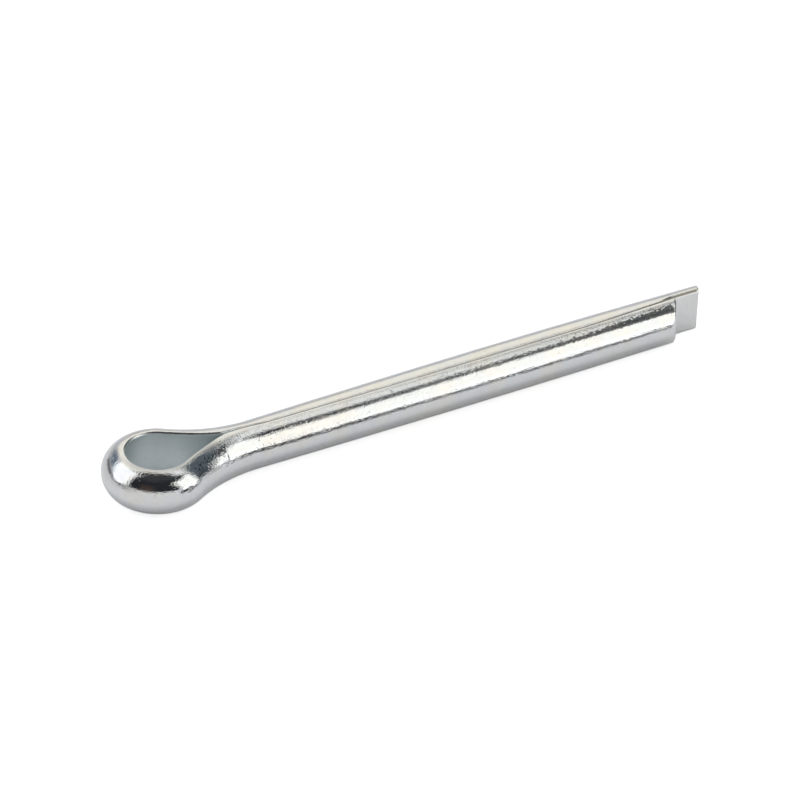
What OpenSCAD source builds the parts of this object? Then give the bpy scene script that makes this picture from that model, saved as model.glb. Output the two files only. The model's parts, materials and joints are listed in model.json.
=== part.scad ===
// Split pin (cotter pin): one length of half-round wire, folded flat side inwards into an eye and two legs.
// The legs lie along +X and make up one split round shank, with the long leg on the +Y side. The pin lies
// on its side, with the eye level. The origin is on the shank's axis, where the two legs part.

/* [Shank] */
// Diameter of the shank, measured over both legs
shank_d = 4.5; // [3.5:0.1:6]
// Length of the short leg, from where the legs part to the flat's end
short_leg_length = 45.4; // [15:0.1:120]
// How far the long leg reaches past the short one
leg_overhang = 2.8; // [0.5:0.1:6]
// Gap between the flats of the two legs
leg_gap = 0.1; // [0.05:0.01:0.3]

/* [Wire] */
// Radius along the two edges of the wire, where its flat meets its round side
edge_radius = 0.25; // [0.1:0.05:0.5]
// Angle at which both tips are sheared off, measured from square
shear_angle = 25; // [0:1:40]
// Width of the bevel on the outermost edge of the short leg's tip
tip_bevel = 0.4; // [0.1:0.05:0.8]

/* [Eye] */
// Clear width inside the eye
eye_width = 5.7; // [4.4:0.1:7.2]
// Distance from where the legs part to the middle of the eye
eye_reach = 9.5; // [8:0.1:14]
// How far the middle of the eye stands off the shank's axis, towards the long leg
eye_offset = 0.3; // [-0.8:0.1:0.8]

/* [Hidden] */
$fn = 128;
zinc = [0.80, 0.81, 0.82];
LONG = 1;
SHORT = -1;

// Each neck is a hair slimmer than its neighbours and runs this far into both, so that one solid results
neck_slim = 0.01;
neck_lap = 0.1;

// The wire's section is what the gap leaves of half the shank's circle
shank_r = shank_d / 2;
flat_y = leg_gap / 2;
wire_t = shank_r - flat_y;
long_leg_length = short_leg_length + leg_overhang;

// Each long edge is rounded in a few narrow flats, along a circle that touches the wire's flat and, from
// inside, the shank's circle
edge_flats = 4;
edge_y = sqrt(pow(shank_r - edge_radius, 2) - pow(flat_y + edge_radius, 2));
edge_angle = atan2(edge_y, flat_y + edge_radius);

// Each leg swings out along one neck arc, which runs smoothly into the shank's flat and the eye's arc
eye_r = eye_width / 2;
function neck_r(side) =
    let (rise = flat_y - side * eye_offset)
    (pow(eye_reach, 2) + pow(rise, 2) - pow(eye_r, 2)) / (2 * (eye_r - rise));
function neck_angle(side) = atan2(eye_reach, neck_r(side) + flat_y - side * eye_offset);

// A point on the rounding of the wire's upper edge, at an angle about the rounding's centre
function edge_point(angle, slim) =
    [edge_radius, edge_y] + (edge_radius - slim) * [cos(angle), sin(angle)];

// Section of the wire, with its flat along the Y axis and its round side towards +X, slimmed all round
module wire_section(slim = 0) {
    step = (180 - edge_angle) / edge_flats;
    rounding = [for (i = [0 : edge_flats - 1]) edge_point(180 - i * step, slim)];
    // the last flat of the rounding ends on the round side, and its line runs on past it
    last = rounding[edge_flats - 1];
    chord = edge_point(edge_angle, slim) - last;
    upper = concat(rounding, [last + shank_d * chord / norm(chord)]);
    lower = [for (i = [len(upper) - 1 : -1 : 0]) [upper[i].x, -upper[i].y]];
    intersection() {
        translate([-flat_y, 0]) circle(r = shank_r - slim);
        polygon(concat(upper, lower));
    }
}

// Removes all that lies past a plane through a point of the plan, turned away from square by an angle
module cut_off(at, angle) {
    size = 4 * shank_d;
    difference() {
        children();
        translate(at) rotate(angle) translate([0, -size / 2, -size / 2]) cube(size);
    }
}

// A straight leg on the +Y side, sheared off through the end of its flat
module leg(length, angle) {
    spare = wire_t * tan(shear_angle);
    cut_off([length, flat_y], angle)
        translate([0, flat_y, 0]) rotate([90, 0, 90]) linear_extrude(length + spare) wire_section();
}

module long_leg() {
    leg(long_leg_length, -shear_angle);
}

// The short leg's shear runs the same way, so its outermost edge falls short and is bevelled
module short_leg() {
    bevel_at = wire_t - tip_bevel * cos(shear_angle);
    mirror([0, 1, 0])
        cut_off([short_leg_length - bevel_at * tan(shear_angle), flat_y + bevel_at], (90 + shear_angle) / 2)
            leg(short_leg_length, shear_angle);
}

// The bend that takes a leg from the shank out to the eye
module neck(side) {
    bend = neck_angle(side);
    lap = neck_lap / neck_r(side) * 180 / PI;
    mirror([0, side == SHORT ? 1 : 0, 0])
        translate([0, flat_y + neck_r(side), 0])
            rotate(270 - bend - lap)
                rotate_extrude(angle = bend + 2 * lap)
                    translate([neck_r(side), 0]) mirror([1, 0]) wire_section(neck_slim);
}

// The eye, from the long leg's neck round to the short leg's
module eye() {
    from = 90 - neck_angle(LONG);
    to = 270 + neck_angle(SHORT);
    translate([-eye_reach, eye_offset, 0])
        rotate(from)
            rotate_extrude(angle = to - from)
                translate([eye_r, 0]) wire_section();
}

module cotter_pin() {
    color(zinc) {
        eye();
        neck(LONG);
        neck(SHORT);
        long_leg();
        short_leg();
    }
}

cotter_pin();
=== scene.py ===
"""The looks of a zinc-plated cotter pin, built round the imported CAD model."""
import json
import math

import bpy
from mathutils import Matrix, Vector, noise

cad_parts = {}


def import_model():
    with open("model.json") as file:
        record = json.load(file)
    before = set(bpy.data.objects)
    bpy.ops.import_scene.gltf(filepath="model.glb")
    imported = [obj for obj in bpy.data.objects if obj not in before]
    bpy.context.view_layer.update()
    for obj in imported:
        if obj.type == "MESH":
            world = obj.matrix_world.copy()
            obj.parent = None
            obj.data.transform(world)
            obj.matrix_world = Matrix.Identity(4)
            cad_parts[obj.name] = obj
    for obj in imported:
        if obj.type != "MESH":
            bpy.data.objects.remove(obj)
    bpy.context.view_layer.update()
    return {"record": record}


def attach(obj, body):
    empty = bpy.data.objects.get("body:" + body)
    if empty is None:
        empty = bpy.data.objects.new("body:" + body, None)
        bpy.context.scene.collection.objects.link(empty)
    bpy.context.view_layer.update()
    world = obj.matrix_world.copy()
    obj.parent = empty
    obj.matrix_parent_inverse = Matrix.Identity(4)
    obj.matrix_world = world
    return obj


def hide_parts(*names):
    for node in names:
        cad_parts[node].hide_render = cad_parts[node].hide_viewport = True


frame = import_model()
mounts = {mount["name"]: mount for mount in frame["record"]["mounts"]}

MM = 0.001
LONG = 1                                # each leg is named by the side of the middle plane that it is on
SHORT = -1

# ---- Sizes of the folded wire, in millimetres, as the CAD model has them ----
SHANK_R = mounts["shank"]["dims"]["r_mm"]
EYE_X = mounts["eye"]["pos_m"][0] / MM
EYE_Y = mounts["eye"]["pos_m"][1] / MM
EYE_R = 2.85
LEG_GAP = 0.1
EDGE_R = 0.25
SHEAR = math.tan(math.radians(25))
LEG_LENGTH = {LONG: 48.2, SHORT: 45.4}

FLAT_Y = LEG_GAP / 2                    # from the middle plane to a leg's flat
WIRE_T = SHANK_R - FLAT_Y               # the wire's thickness
REST_Z = -SHANK_R                       # the height of the floor

# ---- What the real pin adds to them; a span is where along x something comes in ----
BOW = {LONG: 0.30, SHORT: 0.14}         # how far each leg's back stands out half way along it
SPREAD = {LONG: 0.10, SHORT: 0.0}       # and how much further out it stands towards the tip
SPREAD_SPAN = (12, 42)
SEAM = 0.08                             # what is left open between the flats
SEAM_SHIFT = 0.18                       # how far the seam lies off the middle, towards the short leg
SEAM_SHIFT_ENDS = (36, 45)              # where along the legs that fades
HANDOVER = 1.5                          # on each side of x = 0, where the neck's filling becomes the shank's
SWELL = {LONG: 0.34, SHORT: 0.28}       # how far each flat swells towards the other at the neck
SWELL_FROM = -2.3                       # where that swelling starts to fade, and where it ends
SWELL_TO = {LONG: -7.5, SHORT: -6.0}
LEG_EDGE = 0.12                         # the wire's edges are sharper along the legs than round the eye
EYE_EDGE_SPAN = (0, -3)
TONGUE_EDGE = 0.40                      # and blunter where the long leg stands out past the short one
TONGUE_SPAN = (43.5, 45.4)
MATT_STEPS = 5                          # how much of an edge is matt: so many steps along the legs,
MATT_MORE = 3                           # and so many more at the eye and on the tongue
TIP_LENGTH = 3.0                        # the stretch at each tip that leans into the shear
TIP_ROLL = (0.07, 0.6)                  # radius of the sheared rim's rolling, at the flat and at the outside
TIP_ROLL_CURVE = 2.2                    # how late it grows from the one to the other
TIP_INSET = 0.9 * LEG_EDGE              # the most that the rolling takes off the wire's edges
FACE_MIDDLE = 0.45                      # the middle of a sheared face, as a share of the wire's thickness
FACE_RINGS = (0.75, 0.5, 0.25)          # sizes of the rings on it
SHEARED = 0.08                          # roundness given to the sheared faces, which are matt

RIPPLE = 0.006                          # waviness that the drawing die and the bending left
RIPPLE_SLOW = (3.1, 0.9)                # its wavelength along the wire, and its scale across it
RIPPLE_QUICK = (1.1, 1.6)               # and those of a quicker one,
RIPPLE_QUICK_SHARE = 0.35               # which is weaker
RIPPLE_QUICK_AT = 40                    # and lies elsewhere in the noise
RIPPLE_TIP_AT = 500                     # and so do the ripples of the two tips

# dents that the bending tool and the tumbling left: x, y, z, half length, half width, slant, depth
DENTS = (
    (-3.55, -2.55, 0.75, 0.75, 0.11, 80, 0.045),
    (-4.35, -2.75, 0.65, 0.35, 0.12, 20, 0.025),
    (-4.35, -2.50, 1.25, 0.42, 0.30, 70, -0.012),
    (-1.50, -2.33, 0.05, 0.55, 0.14, 15, 0.035),
    (-0.95, -2.30, 0.30, 0.30, 0.10, 55, 0.03),
    (-8.85, -4.60, 0.75, 0.60, 0.12, 35, 0.018),
    (-8.20, -4.45, 0.35, 0.35, 0.12, -40, 0.02),
    (-10.6, -4.65, -0.35, 0.30, 0.14, 20, 0.03),
)
DENT_REACH = 1.5                        # no dent is felt further away than this
DENT_WAVES = (0.5, 2.5)                 # how far a dent's line strays, in half widths, and how often

# ---- How finely the mesh is made ----
WIRE_STEP = 0.11                        # millimetres between rings
EDGE_STEPS = 8                          # steps round each of the section's edges,
ROUND_STEPS = 48                        # round its round side,
FLAT_STEPS = 12                         # and across its flat
TIP_STEPS = 24                          # rings along a tip,
ROLL_STEPS = 8                          # and round its rim
BACK = EDGE_STEPS + ROUND_STEPS // 4    # the point of a ring that the distance along the wire is measured at


# ---- The wire's section: depth out from the flat, and height ----
def fade(value, low, high):
    """Smoothly from 0 at low to 1 at high."""
    t = min(1.0, max(0.0, (value - low) / (high - low)))
    return t * t * (3 - 2 * t)


def section(fill=0.0, radius=EDGE_R, matt=EDGE_STEPS):
    """Points round the wire as (depth, height, normal depth, normal height, roundness).

    The flat lies at a depth of minus fill, and the round side stays where it is. The radius is that of
    the two edges, and matt says how many of an edge's steps still have something of the flat's finish.
    """
    flat = FLAT_Y - fill
    reach = math.sqrt((SHANK_R - radius) ** 2 - (flat + radius) ** 2)
    corner = math.atan2(reach, flat + radius)
    points = []

    def edge(angle, sign, roundness):
        c, s = math.cos(angle), math.sin(angle)
        points.append((radius * (1 + c) - fill, sign * reach + radius * s, c, s, roundness))

    for i in range(EDGE_STEPS):
        edge(math.pi + (corner - math.pi) * i / EDGE_STEPS, 1, min(1.0, i / matt))
    for i in range(ROUND_STEPS + 1):
        angle = corner - 2 * corner * i / ROUND_STEPS
        c, s = math.cos(angle), math.sin(angle)
        points.append((SHANK_R * c - FLAT_Y, SHANK_R * s, c, s, 1.0))
    for i in range(1, EDGE_STEPS + 1):
        edge(-corner - (math.pi - corner) * i / EDGE_STEPS, -1, min(1.0, (EDGE_STEPS - i) / matt))
    for i in range(1, FLAT_STEPS):
        points.append((-fill, reach * (2 * i / FLAT_STEPS - 1), -1.0, 0.0, 0.0))
    return points


# ---- The wire's route in plan: the middle of its flat, and the way its round side faces ----
def neck(side):
    """Radius and angle of the arc that takes a leg from the shank out to the eye."""
    rise = FLAT_Y - side * EYE_Y
    radius = (EYE_X ** 2 + rise ** 2 - EYE_R ** 2) / (2 * (EYE_R - rise))
    return radius, math.atan2(-EYE_X, radius + rise)


def bow(side, x):
    """How far a leg stands out from its straight line, and the slope of its bow there."""
    length = LEG_LENGTH[side]
    turn = math.pi * x / length
    out = BOW[side] * math.sin(turn) + SPREAD[side] * fade(x, *SPREAD_SPAN)
    return out, BOW[side] * math.pi / length * math.cos(turn)


def apart(side, x):
    """How far a leg's flat, as the route has it, lies from the middle plane."""
    if x > 0:
        return FLAT_Y + bow(side, min(x, LEG_LENGTH[side]))[0]
    radius = neck(side)[0]
    return FLAT_Y + radius - math.sqrt(radius ** 2 - x ** 2)


def fill(side, x):
    """How far a flat stands out towards the other leg, to leave only a seam between them.

    Along the shank the long leg does it all, and at the neck both do.
    """
    gap = apart(LONG, x) + apart(SHORT, x) - SEAM
    shift = side * SEAM_SHIFT * fade(x, -HANDOVER, HANDOVER) * (1 - fade(x, *SEAM_SHIFT_ENDS))
    if x > 0:
        return max(0.0, gap) + shift if side == LONG else shift
    both = min(1.0, -x / HANDOVER)
    share = 1 - both / 2 if side == LONG else both / 2
    return max(0.0, min(gap * share, SWELL[side] * fade(x, SWELL_TO[side], SWELL_FROM))) + shift


def wire_section(side, x, filled):
    """The section at a place: edges that are rounder and more matt at the eye, and blunt on the tongue."""
    eye = fade(x, *EYE_EDGE_SPAN)
    tongue = fade(x, *TONGUE_SPAN) if side == LONG else 0.0
    radius = LEG_EDGE + (EDGE_R - LEG_EDGE) * eye + (TONGUE_EDGE - LEG_EDGE) * tongue
    return section(filled, radius, MATT_STEPS + MATT_MORE * eye + MATT_MORE * tongue)


# A station is (side, x, y, the way the round side faces in x and in y, fill).
def leg_stations(side):
    """From the start of a leg's tip down to where the legs part."""
    start = LEG_LENGTH[side] - TIP_LENGTH
    count = round(start / WIRE_STEP)
    stations = []
    for i in range(count):
        x = start * (1 - i / count)
        out, slope = bow(side, x)
        stations.append((side, x, side * (FLAT_Y + out), -slope, side, fill(side, x)))
    return stations


def neck_stations(side):
    """From where the legs part to where the neck's arc meets the eye's."""
    radius, angle = neck(side)
    count = round(radius * angle / WIRE_STEP)
    stations = []
    for i in range(count):
        t = angle * i / count
        x, y = -radius * math.sin(t), FLAT_Y + radius * (1 - math.cos(t))
        stations.append((side, x, side * y, math.sin(t), side * math.cos(t), fill(side, x)))
    return stations


def eye_stations():
    """Round the eye, from the long leg's neck to the short leg's."""
    first = math.pi / 2 - neck(LONG)[1]
    last = 1.5 * math.pi + neck(SHORT)[1]
    count = round((last - first) * (EYE_R + WIRE_T) / WIRE_STEP)
    stations = []
    for i in range(count + 1):
        a = first + (last - first) * i / count
        nx, ny = math.cos(a), math.sin(a)
        stations.append((LONG, EYE_X + EYE_R * nx, EYE_Y + EYE_R * ny, nx, ny, 0.0))
    return stations


def ripple(s, point):
    """Waviness of the wire's surface at a distance along it."""
    depth, height = point[0], point[1]
    length, across = RIPPLE_SLOW
    slow = noise.noise(Vector((s / length, depth * across, height * across)))
    length, across = RIPPLE_QUICK
    quick = noise.noise(Vector((s / length + RIPPLE_QUICK_AT, depth * across, height * across)))
    return RIPPLE * (slow + RIPPLE_QUICK_SHARE * quick)


def dents(place, normal):
    """How far the dents push a point of the surface out, which is mostly a little inwards."""
    lift = 0.0
    for x, y, z, length, width, slant, depth in DENTS:
        off = (place[0] - x, place[1] - y, place[2] - z)
        if max(abs(c) for c in off) > DENT_REACH:
            continue
        level = -normal[1] * off[0] + normal[0] * off[1]
        c, s = math.cos(math.radians(slant)), math.sin(math.radians(slant))
        u, v = (level * c + off[2] * s) / length, (off[2] * c - level * s) / width
        v += DENT_WAVES[0] * noise.noise(Vector((u * DENT_WAVES[1], x, z)))
        lift -= depth * math.exp(-u ** 4 - v * v)
    return lift


# ---- The mesh: one ring of section points at each station, and a ringed cap on each tip ----
def ring(station, s):
    """Points of one ring as (x, y, z, roundness)."""
    side, x, y, nx, ny, filled = station
    size = math.hypot(nx, ny)
    nx, ny = nx / size, ny / size
    points = []
    for p in wire_section(side, x, filled):
        lift = ripple(s, p)
        if p[4] == 1:
            lift += dents((x + nx * p[0], y + ny * p[0], p[1]), (nx, ny))
        depth, height = p[0] + p[2] * lift, p[1] + p[3] * lift
        points.append((x + nx * depth, y + ny * depth, height, p[4]))
    return points


def tip_rings(side):
    """Rings from the start of a tip to near the middle of its sheared face, and that middle."""
    length = LEG_LENGTH[side]
    start = length - TIP_LENGTH
    rings = []

    def end_x(depth):
        """Where the sheared face is, at a depth."""
        return length + side * SHEAR * depth

    def roll(p):
        """Radius of the rolled rim at a point of the section."""
        share = min(1.0, max(0.0, p[0]) / WIRE_T) ** TIP_ROLL_CURVE
        return TIP_ROLL[0] + (TIP_ROLL[1] - TIP_ROLL[0]) * share

    def place(depth, height, x, roundness):
        out, _ = bow(side, min(x, length))
        return (x, side * (FLAT_Y + out + depth), height, roundness)

    for i in range(1, TIP_STEPS + 1):
        t = i / TIP_STEPS
        near = start + (length - start) * t
        points = []
        for p in wire_section(side, near, fill(side, near)):
            x = start + (end_x(p[0]) - roll(p) - start) * t
            lift = ripple(RIPPLE_TIP_AT * side + x, p)
            points.append(place(p[0] + p[2] * lift, p[1] + p[3] * lift, x, p[4]))
        rings.append(points)
    for i in range(1, ROLL_STEPS + 1):
        a = math.pi / 2 * i / ROLL_STEPS
        points = []
        for p in wire_section(side, length, fill(side, length)):
            r = roll(p)
            inset = min(r, TIP_INSET if p[4] < 1 else r) * (1 - math.cos(a))
            depth, height = p[0] - p[2] * inset, p[1] - p[3] * inset
            points.append(place(depth, height, end_x(depth) - r * (1 - math.sin(a)), p[4]))
        rings.append(points)
    middle = WIRE_T * FACE_MIDDLE
    last = [(side * y - FLAT_Y - bow(side, min(x, length))[0], z) for x, y, z, _ in rings[-1]]
    for share in FACE_RINGS:
        points = []
        for depth, height in last:
            d, h = middle + (depth - middle) * share, height * share
            points.append(place(d, h, end_x(d), SHEARED))
        rings.append(points)
    return rings, place(middle, 0.0, end_x(middle), SHEARED)


def wire_rings():
    """All the rings, from the long leg's sheared face to the short leg's, and the middles of those faces."""
    route = leg_stations(LONG) + neck_stations(LONG) + eye_stations()
    route += list(reversed(neck_stations(SHORT))) + list(reversed(leg_stations(SHORT)))
    rings, s = [], 0.0
    for i, station in enumerate(route):
        if i:
            s += math.dist(station[1:3], route[i - 1][1:3])
        rings.append(ring(station, s))
    long_tip, long_middle = tip_rings(LONG)
    short_tip, short_middle = tip_rings(SHORT)
    return list(reversed(long_tip)) + rings + short_tip, [long_middle, short_middle]


def wire_faces(count, n):
    """Quads between rings of n points, and triangles round the middles, whose points come last."""
    faces = []
    for k in range(count - 1):
        for i in range(n):
            j = (i + 1) % n
            faces.append((k * n + i, k * n + j, (k + 1) * n + j, (k + 1) * n + i))
    last = (count - 1) * n
    for i in range(n):
        j = (i + 1) % n
        faces.append((count * n, j, i))
        faces.append((count * n + 1, last + i, last + j))
    return faces


def measure_wire(mesh, rings):
    """A UV map of the distance along the wire and of the distance round it, in millimetres."""
    outline = section()
    n = len(outline)
    lengths = [0.0]
    for k in range(1, len(rings)):
        lengths.append(lengths[-1] + math.dist(rings[k][BACK][:3], rings[k - 1][BACK][:3]))
    girth = [0.0]
    for i in range(1, n + 1):
        a, b = outline[i % n], outline[i - 1]
        girth.append(girth[-1] + math.hypot(a[0] - b[0], a[1] - b[1]))
    uv = mesh.uv_layers.new(name="wire_mm")
    for face in mesh.polygons:
        ids = list(face.vertices)
        wrap = any(v % n == 0 for v in ids) and any(v % n == n - 1 for v in ids)
        for loop, v in zip(face.loop_indices, ids):
            k, i = divmod(v, n)
            if k >= len(rings):
                uv.data[loop].uv = (lengths[-1] if i else 0.0, girth[n] / 2)
            else:
                uv.data[loop].uv = (lengths[k], girth[n] if wrap and i == 0 else girth[i])


def wire_mesh():
    """The folded wire, with its roundness at each point: 0 on the flat, 1 on the round side."""
    rings, middles = wire_rings()
    points = [p for ring_points in rings for p in ring_points] + middles
    mesh = bpy.data.meshes.new("cotter_pin_wire")
    mesh.from_pydata([Vector(p[:3]) * MM for p in points], [], wire_faces(len(rings), len(rings[0])))
    mesh.validate()
    roundness = mesh.attributes.new("roundness", "FLOAT", "POINT")
    roundness.data.foreach_set("value", [p[3] for p in points])
    measure_wire(mesh, rings)
    mesh.shade_smooth()
    return mesh


# ---- Shader nodes ----
NODE_COLUMNS, NODE_WIDTH, NODE_HEIGHT = 8, 200, 220


class Graph:
    """A node tree that is put together with short calls."""

    def __init__(self, owner):
        owner.use_nodes = True
        self.tree = owner.node_tree
        self.tree.nodes.clear()

    def add(self, kind, **settings):
        made = self.tree.nodes.new("ShaderNode" + kind)
        row, column = divmod(len(self.tree.nodes), NODE_COLUMNS)
        made.location = (NODE_WIDTH * column, -NODE_HEIGHT * row)
        for name, value in settings.items():
            setattr(made, name, value)
        return made

    def put(self, socket, value):
        """A value is a number, a colour, a vector, or another node's output."""
        if isinstance(value, bpy.types.NodeSocket):
            self.tree.links.new(value, socket)
        else:
            socket.default_value = value

    def maths(self, operation, *values):
        made = self.add("Math", operation=operation)
        for socket, value in zip(made.inputs, values):
            self.put(socket, value)
        return made.outputs[0]

    def product(self, value, *others):
        for other in others:
            value = self.maths("MULTIPLY", value, other)
        return value

    def vector(self, operation, *values):
        made = self.add("VectorMath", operation=operation)
        for socket, value in zip(made.inputs, values):
            self.put(socket, value)
        return made.outputs["Value"] if operation in ("DOT_PRODUCT", "LENGTH") else made.outputs[0]

    def split(self, vector):
        made = self.add("SeparateXYZ")
        self.put(made.inputs[0], vector)
        return made.outputs

    def ramp(self, value, low, high, to_low=0.0, to_high=1.0, smooth=True):
        """From one value at low to another at high; low may be the larger of the two."""
        made = self.add("MapRange", interpolation_type="SMOOTHSTEP" if smooth else "LINEAR")
        for name, number in (("Value", value), ("From Min", low), ("From Max", high),
                             ("To Min", to_low), ("To Max", to_high)):
            self.put(made.inputs[name], number)
        return made.outputs[0]

    def mix(self, share, a, b):
        made = self.add("Mix", data_type="RGBA")
        colours = [socket for socket in made.inputs if socket.type == "RGBA"]
        self.put(made.inputs[0], share)
        for socket, colour in zip(colours, (a, b)):
            self.put(socket, (*colour, 1) if isinstance(colour, tuple) else colour)
        return [socket for socket in made.outputs if socket.type == "RGBA"][0]

    def noise(self, place, scale, detail, roughness):
        made = self.add("TexNoise")
        for name, value in (("Vector", place), ("Scale", scale),
                            ("Detail", detail), ("Roughness", roughness)):
            self.put(made.inputs[name], value)
        return made.outputs["Fac"]

    def bump(self, height, distance, normal=None):
        made = self.add("Bump")
        self.put(made.inputs["Height"], height)
        self.put(made.inputs["Distance"], distance * MM)
        self.put(made.inputs["Strength"], 1.0)
        if normal is not None:
            self.put(made.inputs["Normal"], normal)
        return made.outputs[0]


# ---- The zinc plating ----
FLAT_COLOUR = (0.68, 0.685, 0.68)
# the eye's flat has a green-blue tint: painted reflection
EYE_FLAT_COLOUR = (0.66, 0.71, 0.715)
EYE_FLAT_ENDS = (-2.0, 2.0)             # where along x the eye's flat turns into the legs'
ROUND_COLOUR = (0.60, 0.61, 0.62)
WARM_COLOUR = (0.62, 0.61, 0.59)        # patches on the round side
# the colour of the dull pits and mottle, and of the painted shade on the eye's rim
DULL_AND_SHADE_COLOUR = (0.40, 0.41, 0.43)
# the colour of the painted dark reflection: a ragged line and dark flecks on the short leg and the neck
DARK_REFLECTION_COLOUR = (0.05, 0.053, 0.056)
# the colour of the painted shade in the seam between the legs and along the edge of the long leg's flat
SEAM_SHADE_COLOUR = (0.20, 0.185, 0.16)
FLAT_ROUGHNESS = 0.42
ROUND_ROUGHNESS = 0.055
REFLECTION_FLECK_ROUGHNESS = 0.1                   # what the flecks of painted dark reflection add

# noises: scale to the millimetre, detail, roughness; the first two are stretched along the wire
STREAKS, STREAK_STRETCH = (1.0, 3.0, 0.6), (0.45, 7.0, 1.0)
FLECKS, FLECK_STRETCH = (1.0, 1.0, 0.6), (2.8, 6.5, 1.0)
GRAIN = (7.0, 1.0, 0.5)
PATCHES = (0.35, 2.0, 0.5)
MOTTLE = (1.5, 4.0, 0.65)
PITS, PITS_FROM = (2.4, 1.0, 0.5), (0.68, 0.8)

# what they do to the colour and the roughness
PATCHES_WARM = (0.4, 0.65)
MOTTLE_DULL = (0.45, 0.65, 0.0, 0.1)
PITS_DULL = 0.25
GRAIN_ROUGH = (0.3, 0.7, 0.0, 0.05)

# how high each stands, in millimetres
STREAK_HEIGHT = 0.009
GRAIN_HEIGHT = 0.014
MOTTLE_HEIGHT = 0.004
PIT_DEPTH = 0.01

# A pair below says where a mark starts and where it is full. Two more numbers are its values there, which
# are 0 and 1 where none are given. Along the wire that is in x, and round the shank in degrees from its
# top towards the front.
DARK_REFLECTION_END = (44.65, 44.45)              # the painted dark reflection along the short leg ends just before its tip
LINE_TOP = (30, 34)                     # the limits round the shank of the painted dark reflection line
LINE_FOOT = (41.5, 38.5)
LINE_RAGGED = 30.0                      # how far its top strays,
LINE_FOOT_RAGGED = 0.4                  # and the share of that for its foot
LINE_RISE = (31, 45, 0, 11)             # it grows upwards towards the tip
LINE_DEPTH = (5, 32, 0.0, 0.78)         # and darker, and darker again near the tip
LINE_DEPTH_MORE = (33, 40, 0.0, 0.12)
BAND_TOP = (10, 26)                     # the limits of the band of painted dark reflection flecks above the line
BAND_FOOT = (42, 38)
BAND_SHIFT = (32, 45, -8, 2)            # its top rises towards the tip, too
BAND_DENSITY = (29, 44, 0.1, 0.7)
NECK_TOP = (0.93, 0.86)                 # the painted dark reflection on the neck, by how far the surface looks up
NECK_FOOT = (0.66, 0.74)
NECK_LEFT = (-8.5, -7.0)
NECK_RIGHT = (-3.2, -3.9)
NECK_SIDE = (0.0, -0.5)                 # they are on the near side, by y
NECK_DENSITY = (-5.5, -4.5, 0.45, 0.7)
REFLECTION_FLECK_LIFT = 0.5                        # how much of the density is added to the flecks,
REFLECTION_FLECK_FROM = (0.72, 0.84)               # what then counts as a fleck of painted dark reflection,
REFLECTION_FLECK_EDGE = (0.0, 0.04)                # and how soon the flecks begin inside their area
REFLECTION_FLECK_DARK = 0.85
RIM_SHADE_FROM = (0.93, 0.99)                # the painted shade on the eye's rim, by how far the surface looks up,
RIM_SHADE_SIDE = (1.5, -1.0)                 # by y,
RIM_SHADE_RIGHT = (-3.5, -5.0)               # and by x
RIM_SHADE_SHARE = 0.8
SEAM_SHADE_FROM = (0.3, 0.5)                 # how near the edge of the flat the painted shade is,
SEAM_SHADE_NARROW = (44.4, 45.4, 0.0, 0.5)   # which is nearer past the short leg's tip
SEAM_SHADE_DEPTH = (3, 30, 0.0, 0.95)
SEAM_SHADE_SIDE = (0.6, 0.4)                 # it stays near the middle plane, by the size of y,
SEAM_SHADE_END = (48.1, 47.9)                # clear of the long leg's sheared face,
SEAM_SHADE_SHORT_END = (45.1, 44.9)          # and of the short one's, which is on the near side
SEAM_SHADE_SHORT_SIDE = (-0.12, -0.02)
DRAWN_LEFT = (-9.5, -8.5)               # where the streaks stand higher, round the eye and the neck
DRAWN_RIGHT = (-1.5, -3.0)
DRAWN_TOP = (0.3, 0.9)                  # by z
DRAWN_MORE = 0.7


def short_leg_dark_reflection(g, x, around, flecks):
    """Painted dark reflection: a ragged dark line along the upper front of the short leg, and how densely
    the band above it is flecked with more of it.
    """
    ragged = g.product(g.maths("SUBTRACT", flecks, 0.5), LINE_RAGGED)
    before_tip = g.ramp(x, *DARK_REFLECTION_END)
    upper = g.maths("ADD", g.maths("ADD", around, ragged), g.ramp(x, *LINE_RISE))
    lower = g.maths("ADD", around, g.product(ragged, LINE_FOOT_RAGGED))
    depth = g.maths("ADD", g.ramp(x, *LINE_DEPTH, smooth=False), g.ramp(x, *LINE_DEPTH_MORE))
    dark_reflection_line = g.product(g.ramp(upper, *LINE_TOP), g.ramp(lower, *LINE_FOOT), depth, before_tip)
    band = g.maths("ADD", around, g.ramp(x, *BAND_SHIFT, smooth=False))
    band = g.product(g.ramp(band, *BAND_TOP), g.ramp(around, *BAND_FOOT), before_tip)
    return dark_reflection_line, g.product(band, g.ramp(x, *BAND_DENSITY, smooth=False))


def neck_dark_reflection(g, x, y, upright):
    """Painted dark reflection: how densely dark flecks cover a band on the near side of the neck, by how far
    its surface looks up.
    """
    return g.product(g.ramp(upright, *NECK_TOP), g.ramp(upright, *NECK_FOOT), g.ramp(x, *NECK_LEFT),
                     g.ramp(x, *NECK_RIGHT), g.ramp(y, *NECK_SIDE), g.ramp(x, *NECK_DENSITY))


def upward_rim_shade(g, x, y, upright):
    """Painted shade: the edge round the inside of the eye is darker on its near side, where its surface
    looks up.
    """
    near = g.product(g.ramp(y, *RIM_SHADE_SIDE), g.ramp(x, *RIM_SHADE_RIGHT))
    return g.product(g.ramp(upright, *RIM_SHADE_FROM), near, RIM_SHADE_SHARE)


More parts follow.
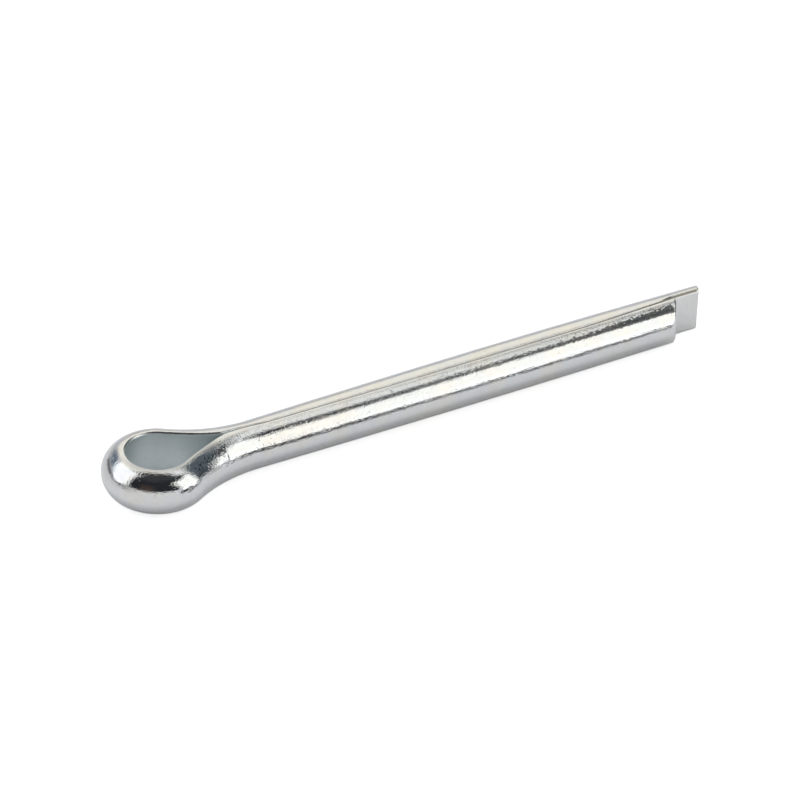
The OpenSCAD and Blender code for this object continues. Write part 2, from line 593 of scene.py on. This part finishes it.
def seam_shade(g, x, y, roundness):
    """Painted shade in the seam, and in a dark line along the edge where the long leg stands out."""
    edge = g.product(roundness, g.maths("SUBTRACT", 1.0, roundness), 4.0)
    painted_shade = g.ramp(g.maths("SUBTRACT", edge, g.ramp(x, *SEAM_SHADE_NARROW)), *SEAM_SHADE_FROM)
    clear_of_face = g.maths("MAXIMUM", g.ramp(y, *SEAM_SHADE_SHORT_SIDE), g.ramp(x, *SEAM_SHADE_SHORT_END))
    return g.product(painted_shade, g.ramp(x, *SEAM_SHADE_DEPTH, smooth=False),
                     g.ramp(g.maths("ABSOLUTE", y), *SEAM_SHADE_SIDE), clear_of_face, g.ramp(x, *SEAM_SHADE_END))


def zinc():
    """Bright zinc plating: drawn and glossy on the round side, rolled and matt on the flat."""
    material = bpy.data.materials.new("zinc_plate")
    g = Graph(material)
    out = g.add("OutputMaterial")
    shader = g.add("BsdfPrincipled")
    g.put(out.inputs["Surface"], shader.outputs[0])
    shader.inputs["Metallic"].default_value = 1.0

    roundness = g.add("Attribute", attribute_name="roundness").outputs["Fac"]
    solid = g.vector("SCALE", g.add("TexCoord").outputs["Object"])
    solid.node.inputs["Scale"].default_value = 1 / MM
    x, y, z = g.split(solid)
    upright = g.split(g.add("TexCoord").outputs["Normal"])[2]
    around = g.product(g.maths("ARCTAN2", g.product(y, -1.0), z), math.degrees(1))
    wire = g.add("UVMap", uv_map="wire_mm").outputs[0]
    streaks = g.noise(g.vector("MULTIPLY", wire, STREAK_STRETCH), *STREAKS)
    flecks = g.noise(g.vector("MULTIPLY", wire, FLECK_STRETCH), *FLECKS)
    grain = g.noise(solid, *GRAIN)
    patches = g.noise(solid, *PATCHES)
    mottle = g.noise(solid, *MOTTLE)
    pits = g.ramp(g.noise(solid, *PITS), *PITS_FROM)

    # painted dark reflection, as a line and flecks, on the short leg and on the neck
    dark_reflection_line, band = short_leg_dark_reflection(g, x, around, flecks)
    reflection_bands = g.maths("ADD", band, neck_dark_reflection(g, x, y, upright))
    reflection_flecks = g.ramp(g.maths("ADD", flecks, g.product(reflection_bands, REFLECTION_FLECK_LIFT)), *REFLECTION_FLECK_FROM)
    reflection_flecks = g.product(reflection_flecks, g.ramp(reflection_bands, *REFLECTION_FLECK_EDGE))

    # the flats, with the painted reflection tint at the eye
    flat = g.mix(g.ramp(x, *EYE_FLAT_ENDS), EYE_FLAT_COLOUR, FLAT_COLOUR)
    colour = g.mix(roundness, flat, g.mix(g.ramp(patches, *PATCHES_WARM), ROUND_COLOUR, WARM_COLOUR))
    dull = g.maths("MAXIMUM", g.product(pits, PITS_DULL), g.ramp(mottle, *MOTTLE_DULL))
    # dull pits and mottle, and the painted shade on the eye's rim
    colour = g.mix(g.maths("MAXIMUM", dull, upward_rim_shade(g, x, y, upright)), colour, DULL_AND_SHADE_COLOUR)
    # painted shade in the seam and along the long leg's edge
    colour = g.mix(seam_shade(g, x, y, roundness), colour, SEAM_SHADE_COLOUR)
    # the painted dark reflection goes over the colour last
    dark_reflection = g.maths("MAXIMUM", dark_reflection_line, g.product(reflection_flecks, REFLECTION_FLECK_DARK))
    g.put(shader.inputs["Base Color"], g.mix(dark_reflection, colour, DARK_REFLECTION_COLOUR))

    polish = g.ramp(roundness, 0.0, 1.0, FLAT_ROUGHNESS, ROUND_ROUGHNESS)
    polish = g.maths("ADD", polish, g.ramp(grain, *GRAIN_ROUGH))
    g.put(shader.inputs["Roughness"], g.maths("ADD", polish, g.product(reflection_flecks, REFLECTION_FLECK_ROUGHNESS)))

    drawn = g.product(g.ramp(x, *DRAWN_LEFT), g.ramp(x, *DRAWN_RIGHT), g.ramp(z, *DRAWN_TOP), DRAWN_MORE)
    normal = g.bump(g.product(streaks, g.maths("ADD", drawn, 1.0)), STREAK_HEIGHT)
    normal = g.bump(grain, GRAIN_HEIGHT, normal)
    normal = g.bump(mottle, MOTTLE_HEIGHT, normal)
    normal = g.bump(g.maths("SUBTRACT", 1.0, pits), PIT_DEPTH, normal)
    g.put(shader.inputs["Normal"], normal)
    return material


# ---- The floor, with radii and heights in metres ----
FLOOR_ALBEDO = 0.8
FLOOR_CENTRE_R = 0.02
FLOOR_FLAT_R = 0.7
FLOOR_R = 1.2
FLOOR_RISE = 0.36                       # how high its rim sweeps up
FLOOR_SIDES = 96
FLOOR_RINGS = 6                         # on its flat part,
FLOOR_RIM_RINGS = 14                    # and on its rim
GLOW_NEAR_R = 0.1                       # the floor glows a little more further out than this
GLOW_SEEN = 0.74                        # what it adds for the camera, to be white, near the object
GLOW_SEEN_FAR = 0.85                    # and at the edge of its flat part
GLOW_MIRRORED = 0.40                    # what it adds for reflections
GLOW_MIRRORED_FAR = 0.50
GLOW_BEHIND = 0.78                      # the share of that behind the object, on the left,
GLOW_BEHIND_AT = -155                   # in this direction
GLOW_BEHIND_FROM = (0.010, 0.020)
GLOW_TINT = (0.96, 0.985, 1.05)
SHADE_REACH = 2.5                       # millimetres from the object in which the mirrored glow fades
SHADE_SAMPLES = 4
WHITE = (1, 1, 1)


def floor_white():
    """A white sweep that keeps the object's shadow."""
    material = bpy.data.materials.new("floor_white")
    g = Graph(material)
    out = g.add("OutputMaterial")
    sum_up = g.add("AddShader")
    diffuse = g.add("BsdfDiffuse")
    diffuse.inputs["Color"].default_value = (FLOOR_ALBEDO,) * 3 + (1,)
    glow = g.add("Emission")
    path = g.add("LightPath").outputs
    place = g.add("TexCoord").outputs["Object"]
    away = g.vector("LENGTH", place)
    out_to = (GLOW_NEAR_R, FLOOR_FLAT_R)
    seen = g.product(path["Is Camera Ray"], g.ramp(away, *out_to, GLOW_SEEN, GLOW_SEEN_FAR))
    shade = g.add("AmbientOcclusion", samples=SHADE_SAMPLES)
    shade.inputs["Distance"].default_value = SHADE_REACH * MM
    behind = g.vector("DOT_PRODUCT", place, tuple(direction(GLOW_BEHIND_AT, 0)))
    mirrored = g.product(g.maths("MAXIMUM", path["Is Glossy Ray"], path["Is Transmission Ray"]),
                         g.ramp(away, *out_to, GLOW_MIRRORED, GLOW_MIRRORED_FAR), shade.outputs["AO"],
                         g.ramp(behind, *GLOW_BEHIND_FROM, 1.0, GLOW_BEHIND))
    g.put(glow.inputs["Strength"], g.maths("ADD", seen, mirrored))
    g.put(glow.inputs["Color"], g.mix(path["Is Camera Ray"], GLOW_TINT, WHITE))
    g.put(sum_up.inputs[0], diffuse.outputs[0])
    g.put(sum_up.inputs[1], glow.outputs[0])
    g.put(out.inputs["Surface"], sum_up.outputs[0])
    return material


def floor():
    """A disc whose rim sweeps up all round."""
    out = FLOOR_FLAT_R - FLOOR_CENTRE_R
    profile = [(FLOOR_CENTRE_R + out * i / FLOOR_RINGS, 0.0) for i in range(FLOOR_RINGS + 1)]
    for i in range(1, FLOOR_RIM_RINGS + 1):
        t = i / FLOOR_RIM_RINGS
        profile.append((FLOOR_FLAT_R + (FLOOR_R - FLOOR_FLAT_R) * t, FLOOR_RISE * t * t))
    turns = [2 * math.pi * i / FLOOR_SIDES for i in range(FLOOR_SIDES)]
    points = [(r * math.cos(turn), r * math.sin(turn), z) for r, z in profile for turn in turns]
    faces = [tuple(range(FLOOR_SIDES))]
    for k in range(len(profile) - 1):
        inner, outer = k * FLOOR_SIDES, (k + 1) * FLOOR_SIDES
        for i in range(FLOOR_SIDES):
            j = (i + 1) % FLOOR_SIDES
            faces.append((inner + i, outer + i, outer + j, inner + j))
    mesh = bpy.data.meshes.new("floor")
    mesh.from_pydata(points, [], faces)
    mesh.shade_smooth()
    made = bpy.data.objects.new("floor", mesh)
    made.location.z = REST_Z * MM
    made.data.materials.append(floor_white())
    bpy.context.collection.objects.link(made)


# ---- The studio: degrees, and metres ----
# softboxes: azimuth, elevation, distance, width, height, roll, radiance, colour
SOFTBOXES = {
    "softbox_right": (41.45, 30, 1.0, 0.718, 0.84, 4, 1.6, (1, 0.992, 0.935)),
    "softbox_left": (-125.7, 37.5, 0.8, 0.605, 0.924, 38, 1.6, (0.98, 0.99, 1)),
    "overhead": (0, 90, 0.6, 0.7, 0.7, 0, 0.3, WHITE),
}
# dark cards that stand round the object: azimuth, elevation, distance, width, height, colour
CARDS = {
    "card_side": (88, 13, 0.65, 0.62, 0.2, (0.1, 0.12, 0.14)),
    "card_left": (-106, 4.5, 0.6, 0.44, 0.07, (0.05, 0.05, 0.07)),
    "card_back": (-146, 6.5, 0.6, 0.47, 0.085, (0.05, 0.05, 0.07)),
}
# and cards that stand close before the shank, facing it: width, height, place
LOW_CARDS = {
    "card_low": (0.06, 0.0056, (0.035, -0.035, 0.0006)),
    "card_low_neck": (0.029, 0.0082, (0.0145, -0.035, 0.0019)),
}
LOW_CARD_COLOUR = (0.05, 0.05, 0.05)


def direction(azimuth, elevation):
    """Azimuth is measured from -Y towards +X."""
    a, e = math.radians(azimuth), math.radians(elevation)
    return Vector((math.sin(a) * math.cos(e), -math.cos(a) * math.cos(e), math.sin(e)))


def face(made, azimuth, elevation, distance, roll=0):
    """Puts a light or card in a direction and turns it to the object."""
    towards = direction(azimuth, elevation)
    turn = towards.to_track_quat("Z", "Y").to_matrix() @ Matrix.Rotation(math.radians(roll), 3, "Z")
    made.location = towards * distance
    made.rotation_euler = turn.to_euler()
    made.visible_camera = False
    bpy.context.collection.objects.link(made)


def softbox(name, azimuth, elevation, distance, width, height, roll, radiance, colour):
    light = bpy.data.lights.new(name, "AREA")
    light.shape = "RECTANGLE"
    light.size = width
    light.size_y = height
    light.color = colour
    light.energy = radiance * math.pi * width * height
    made = bpy.data.objects.new(name, light)
    face(made, azimuth, elevation, distance, roll)
    return made


def card(name, azimuth, elevation, distance, width, height, colour):
    """A dark card that only reflections see."""
    mesh = bpy.data.meshes.new(name)
    w, h = width / 2, height / 2
    mesh.from_pydata([(-w, -h, 0), (w, -h, 0), (w, h, 0), (-w, h, 0)], [], [(0, 1, 2, 3)])
    material = bpy.data.materials.new(name)
    g = Graph(material)
    diffuse = g.add("BsdfDiffuse")
    diffuse.inputs["Color"].default_value = (*colour, 1)
    g.put(g.add("OutputMaterial").inputs["Surface"], diffuse.outputs[0])
    mesh.materials.append(material)
    made = bpy.data.objects.new(name, mesh)
    face(made, azimuth, elevation, distance)
    made.visible_diffuse = made.visible_shadow = False
    return made


# ---- The room that the metal mirrors ----
CEILING = (0.06, 0.062, 0.072)
FRONT = (0.028, 0.031, 0.038)
CEILING_FROM = (62, 72)                 # elevations
BACK_WALL = (1.3, 1.26, 1.14)
BACK_FOOT = (0.95, 0.93, 0.95)
BACK_FOOT_TOP = (0.15, 0.4)             # sines of elevations
BACK_SECTOR = (162, 32, 10)             # azimuth, half width, softness
BACK_TOP = (72, 64)                     # elevations
TOP_STRIP = (1.25, 1.25, 1.2)
TOP_STRIP_SECTOR = (111, 39, 1.5)
TOP_STRIP_STOREY = (56.5, 71, 1.5)      # two elevations, softness
# round patches: a colour, and azimuth, elevation and radius
WARM_CORNER, WARM_CORNER_AT = (0.078, 0.06, 0.052), (-50, 31, 18)
HOLE, HOLE_AT = (0.12, 0.15, 0.17), (98, 30, 44)
BOX_CORNER, BOX_CORNER_AT = (1.5, 1.5, 1.45), (67, 51, 6.5)
BLUE_CORNER, BLUE_CORNER_AT = (0.2, 0.25, 0.32), (-165, 22, 25)


def world():
    """A dim room: a pale wall behind the object, a pale strip high on the right, a dark ceiling."""
    made = bpy.data.worlds.new("studio")
    g = Graph(made)
    out = g.add("OutputWorld")
    back = g.add("Background")
    g.put(out.inputs["Surface"], back.outputs[0])
    ray = g.add("TexCoord").outputs["Generated"]
    level = g.vector("NORMALIZE", g.vector("MULTIPLY", ray, (1, 1, 0)))
    height = g.vector("DOT_PRODUCT", ray, (0, 0, 1))

    def above(low, high):
        """From 0 at one elevation to 1 at another."""
        return g.ramp(height, math.sin(math.radians(low)), math.sin(math.radians(high)))

    def near(vector, azimuth, elevation, outer, inner):
        """From 0 at an outer angle round a direction to 1 at an inner one."""
        turn = g.vector("DOT_PRODUCT", vector, tuple(direction(azimuth, elevation)))
        return g.ramp(turn, math.cos(math.radians(outer)), math.cos(math.radians(inner)))

    def sector(azimuth, half_width, soft):
        return near(level, azimuth, 0, half_width + soft, half_width - soft)

    def storey(low, high, soft):
        return g.product(above(low - soft, low + soft), above(high + soft, high - soft))

    def blob(azimuth, elevation, radius):
        return near(ray, azimuth, elevation, radius, radius / 2)

    colour = g.mix(above(*CEILING_FROM), FRONT, CEILING)
    colour = g.mix(blob(*WARM_CORNER_AT), colour, WARM_CORNER)
    colour = g.mix(blob(*HOLE_AT), colour, HOLE)
    wall = g.mix(g.ramp(height, *BACK_FOOT_TOP), BACK_FOOT, BACK_WALL)
    colour = g.mix(g.product(sector(*BACK_SECTOR), above(*BACK_TOP)), colour, wall)
    colour = g.mix(g.product(sector(*TOP_STRIP_SECTOR), storey(*TOP_STRIP_STOREY)), colour, TOP_STRIP)
    colour = g.mix(blob(*BOX_CORNER_AT), colour, BOX_CORNER)
    colour = g.mix(blob(*BLUE_CORNER_AT), colour, BLUE_CORNER)
    g.put(back.inputs["Color"], colour)
    bpy.context.scene.world = made


CAMERA_AT = Vector((-202.64, -346.62, 275.86))  # millimetres
CAMERA_TURN, CAMERA_TILT = 32.192, 33.9626      # degrees from +Y towards +X, and down from level
CAMERA_ROLL = 2.583
CAMERA_LENS = 243.4
CAMERA_SENSOR = 36
CAMERA_CLIP = 0.01                      # metres


def camera():
    data = bpy.data.cameras.new("camera")
    data.sensor_width = CAMERA_SENSOR
    data.lens = CAMERA_LENS
    data.clip_start = CAMERA_CLIP
    made = bpy.data.objects.new("camera", data)
    turn, tilt, roll = (math.radians(a) for a in (CAMERA_TURN, CAMERA_TILT, CAMERA_ROLL))
    right = Vector((math.cos(turn), -math.sin(turn), 0))
    ahead = Vector((math.sin(turn) * math.cos(tilt), math.cos(turn) * math.cos(tilt), -math.sin(tilt)))
    up = right.cross(ahead)
    right, up = right * math.cos(roll) + up * math.sin(roll), up * math.cos(roll) - right * math.sin(roll)
    axes = Matrix((right, up, -ahead)).transposed()
    made.matrix_world = Matrix.Translation(CAMERA_AT * MM) @ axes.to_4x4()
    bpy.context.collection.objects.link(made)
    bpy.context.scene.camera = made


# ---- The scene ----
camera()
world()
floor()
boxes = {name: softbox(name, *settings) for name, settings in SOFTBOXES.items()}
boxes["overhead"].visible_glossy = False
for name, settings in CARDS.items():
    card(name, *settings)
for name, (width, height, place) in LOW_CARDS.items():
    card(name, 0, 0, 0, width, height, LOW_CARD_COLOUR).location = place
bpy.context.scene.view_settings.view_transform = "Standard"

pin = bpy.data.objects.new("cotter_pin_wire", wire_mesh())
bpy.context.collection.objects.link(pin)
pin.data.materials.append(zinc())
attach(pin, "root")
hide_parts("cotter_pin")
